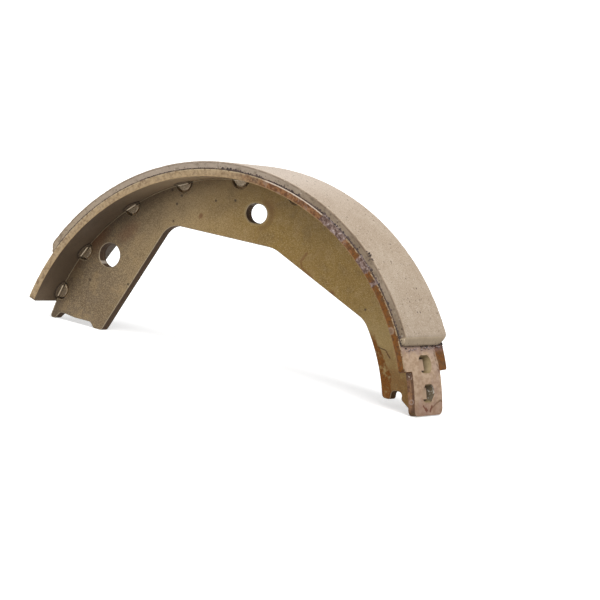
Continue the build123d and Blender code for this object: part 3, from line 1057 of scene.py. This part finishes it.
def add_lights(look):
    """A broad key light from the upper right and a weak fill from the front."""
    lights = (
        ("key", (0.455, -0.40, 0.80), look.key, 40.0),
        ("fill", (-0.15, -1.0, 0.15), look.fill, 60.0),
    )
    for name, towards, strength, spread in lights:
        lamp = bpy.data.lights.new(name, "SUN")
        lamp.energy = strength
        lamp.angle = math.radians(spread)
        link(name, lamp).rotation_euler = Vector(towards).to_track_quat("Z", "Y").to_euler()


def add_sky(look):
    """White surroundings that light the shoe softly, mostly from above."""
    world = bpy.data.worlds.new("studio")
    bpy.context.scene.world = world
    world.use_nodes = True
    sky = Nodes(world.node_tree)
    way = sky.add("ShaderNodeTexCoord", output="Generated")
    settings = {"operation": "DOT_PRODUCT"}
    lift = sky.add("ShaderNodeVectorMath", settings, {0: way, 1: SKY_BRIGHTEST}, output="Value")
    span = {"From Min": -0.30, "From Max": 0.35, "To Min": look.ground, "To Max": look.sky}
    light = sky.add("ShaderNodeMapRange", sockets={"Value": lift, **span})
    seen = sky.add("ShaderNodeLightPath", output="Is Camera Ray")
    strength = sky.add("ShaderNodeMix", sockets={"Factor": seen, "A": light, "B": look.backdrop})
    backdrop = sky.add("ShaderNodeBackground", sockets={"Color": WHITE, "Strength": strength})
    sky.end("ShaderNodeOutputWorld", "Surface", backdrop)


def add_camera():
    """A long lens that is tilted with the shoe, so that the left end shows raised."""
    azimuth = math.radians(CAMERA_AZIMUTH)
    elevation = math.radians(CAMERA_ELEVATION)
    level = Vector((-math.sin(azimuth), math.cos(azimuth), 0.0))
    forward = level * math.cos(elevation) - Vector((0.0, 0.0, math.sin(elevation)))
    right = Vector((math.cos(azimuth), math.sin(azimuth), 0.0))
    axes = Matrix((right, right.cross(forward), -forward)).transposed().to_4x4()
    tilt = Matrix.Rotation(-math.radians(CAMERA_TILT), 4, "Y")
    to_axis = Matrix.Translation((AXIS_X, 0.0, AXIS_Z))
    lens = bpy.data.cameras.new("camera")
    lens.lens = CAMERA_LENS
    lens.sensor_width = CAMERA_SENSOR
    lens.clip_end = 50.0
    camera = link("camera", lens)
    camera.matrix_world = to_axis @ tilt @ Matrix.Translation(CAMERA_PLACE) @ axes
    bpy.context.scene.camera = camera


# ---------------- settings


class WebLook(bpy.types.PropertyGroup):
    plate_left: colour_property("Plating, left", "Tone at the left end", srgb(116, 99, 78))
    plate_middle: colour_property("Plating, middle", "Tone of the middle", srgb(168, 142, 100))
    plate_right: colour_property("Plating, right", "Tone at the right end", srgb(149, 118, 54))


class TableLook(bpy.types.PropertyGroup):
    tab_dark: colour_property("Tab, dark", "Darker tone of the tab", srgb(168, 140, 114))
    tab_light: colour_property("Tab, light", "Paler tone of the tab", srgb(192, 166, 140))
    mouth_corner: length_property("Mouth", "Corner radius of a slot's mouth", 4.0 * MM)
    throat_corner: length_property("Throat", "Corner radius of a slot's throat", 1.2 * MM)
    corner_steps: bpy.props.IntProperty(
        name="Steps", description="Facets of a corner", default=16, min=4
    )


class LiningLook(bpy.types.PropertyGroup):
    face_warm: colour_property("Face, warm", "Warmer tone of the ground face", srgb(178, 159, 138))
    face_pale: colour_property("Face, pale", "Paler tone of the ground face", srgb(190, 173, 153))
    back_corner: length_property("Back corner", "Radius of the back right corner", 7.0 * MM)
    front_corner: length_property("Front corner", "Radius of the front right corner", 2.6 * MM)
    corner: length_property("Corner", "Size of the worn corner along each side", 0.5 * MM)
    land: length_property("Land", "Height of the square foot at each end", 0.9 * MM)
    bevel_run: length_property("Bevel", "Length of the bevel at each end", 3.3 * MM)
    wear: length_property("Wear", "How deep the edges are worn", 0.22 * MM)
    side_pits: length_property("Side pits", "How deep the sides are pitted", 0.16 * MM)
    stations: bpy.props.IntProperty(
        name="Stations", description="Sections along the arc", default=420, min=40, max=700
    )


class AdhesiveLook(bpy.types.PropertyGroup):
    grain_dark: colour_property("Grains, dark", "Darker tone of the adhesive", srgb(48, 38, 34))
    grain_light: colour_property("Grains, light", "Lighter tone of the adhesive", srgb(96, 80, 72))
    residue: colour_property("Residue", "Tone of the cleaned off residue", srgb(164, 148, 146))
    grain_size: length_property("Grain size", "Radius of the largest grains", 0.34 * MM)


class StageLook(bpy.types.PropertyGroup):
    floor: colour_property("Floor", "Colour of the floor", (0.88, 0.88, 0.88))
    floor_glow: strength_property("Floor glow", "Light that the floor adds", 0.50)
    key: strength_property("Key", "Strength of the key light", 2.6)
    fill: strength_property("Fill", "Strength of the fill light", 0.8)
    sky: strength_property("Sky", "Strength of the surroundings above", 0.45)
    ground: strength_property("Ground", "Strength of the surroundings below", 0.20)
    backdrop: strength_property("Backdrop", "How bright the surroundings show", 1.1)


# ---------------- operators


class SHOE_OT_web(bpy.types.Operator):
    """Plate the web"""

    bl_idname = "shoe.web"
    bl_label = "Web"

    def execute(self, context):
        dress("web", plated_web(context.scene.shoe_web))
        return {"FINISHED"}


class SHOE_OT_table(bpy.types.Operator):
    """Rust the table"""

    bl_idname = "shoe.table"
    bl_label = "Table"

    def execute(self, context):
        look = context.scene.shoe_table
        rusted = rusted_table(look)
        dress("table", rusted)
        new_piece("slot_corners", slot_corners_mesh(look), rusted)
        return {"FINISHED"}


class SHOE_OT_lining(bpy.types.Operator):
    """Replace the lining with one that has worn edges"""

    bl_idname = "shoe.lining"
    bl_label = "Lining"

    def execute(self, context):
        look = context.scene.shoe_lining
        piece = new_piece("worn_lining", lining_mesh(look), ground_lining(look))
        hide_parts("lining")
        return {"FINISHED"}


class SHOE_OT_adhesive(bpy.types.Operator):
    """Lay the adhesive's film, grains and residue"""

    bl_idname = "shoe.adhesive"
    bl_label = "Adhesive"

    def execute(self, context):
        look = context.scene.shoe_adhesive
        dark = dried_adhesive(look)
        dress("adhesive_film", dark)
        tree = GrainTree("seam_grains")
        for strip in adhesive_strips(dark, mauve_residue(look)):
            strip.lay(tree, look.grain_size)
        # Dark plates of painted shade in the gaps round the teeth
        new_piece("slot_shade_plates", shade_plates_mesh(), dark)
        return {"FINISHED"}


class SHOE_OT_stage(bpy.types.Operator):
    """Set the floor, lights, surroundings and camera"""

    bl_idname = "shoe.stage"
    bl_label = "Stage"

    def execute(self, context):
        look = context.scene.shoe_stage
        add_floor(look)
        add_lights(look)
        add_sky(look)
        add_camera()
        context.scene.view_settings.view_transform = "Standard"
        return {"FINISHED"}


class SHOE_PT_panel(bpy.types.Panel):
    """Lists the shoe's pieces"""

    bl_idname = "SHOE_PT_panel"
    bl_label = "Brake Shoe"
    bl_space_type = "VIEW_3D"
    bl_region_type = "UI"
    bl_category = "Brake Shoe"

    def draw(self, context):
        for operator, setting in zip(OPERATORS, SETTINGS):
            group = getattr(context.scene, setting)
            box = self.layout.box()
            for name in group.__annotations__:
                box.prop(group, name)
            box.operator(operator.bl_idname)


SETTINGS = {
    "shoe_web": WebLook,
    "shoe_table": TableLook,
    "shoe_lining": LiningLook,
    "shoe_adhesive": AdhesiveLook,
    "shoe_stage": StageLook,
}
OPERATORS = (SHOE_OT_web, SHOE_OT_table, SHOE_OT_lining, SHOE_OT_adhesive, SHOE_OT_stage)
CLASSES = (*SETTINGS.values(), *OPERATORS, SHOE_PT_panel)


def register():
    for item in CLASSES:
        bpy.utils.register_class(item)
    for name, group in SETTINGS.items():
        setattr(bpy.types.Scene, name, bpy.props.PointerProperty(type=group))


def unregister():
    for name in SETTINGS:
        delattr(bpy.types.Scene, name)
    for item in reversed(CLASSES):
        bpy.utils.unregister_class(item)


def main():
    register()
    for operator in OPERATORS:
        family, name = operator.bl_idname.split(".")
        getattr(getattr(bpy.ops, family), name)()


if __name__ == "__main__":
    main()
